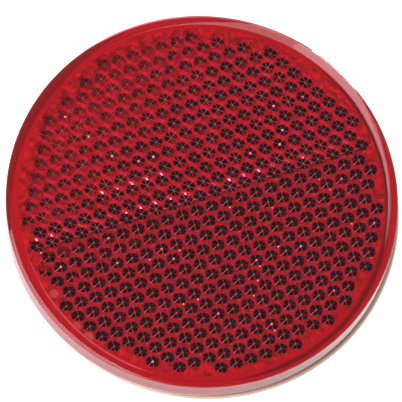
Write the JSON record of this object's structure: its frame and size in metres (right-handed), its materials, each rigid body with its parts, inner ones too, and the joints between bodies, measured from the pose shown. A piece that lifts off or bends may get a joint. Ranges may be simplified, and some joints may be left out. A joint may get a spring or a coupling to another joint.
{
  "type": "round reflex reflector",
  "caption": "Round red reflex reflector: clear red lens with a rounded rim and moulded cube-corner prisms, welded back plate, foam adhesive pad and peel-off release liner.",
  "frame": {"origin": "on the axis of the lens, at the underside of the release liner", "axes": "+Z out of the front of the lens; +X along the rows of prisms and the line between the two optical zones; +Y from the lower optical zone to the upper one"},
  "size_m": [0.0605, 0.0603, 0.0063],
  "materials": {
    "red_acrylic": "clear transparent red acrylic, polished",
    "plate_abs": "fine matt moulded, pinkish tan",
    "pe_foam": "closed-cell foam, matt, pinkish tan",
    "liner_paper": "coated release paper, satin, pale green-white"
  },
  "bodies": {
    "reflector": {"reflector_lens": "red_acrylic", "back_plate": "plate_abs", "foam_pad": "pe_foam"},
    "liner": {"release_liner": "liner_paper"}
  },
  "joints": [
    {"name": "liner_peel", "type": "hinge", "parent": "reflector", "child": "liner", "pos_m": [-0.02952, -0.00026, 0.00007], "axis": [0, 1, 0], "range_deg": [0, 180]}
  ]
}
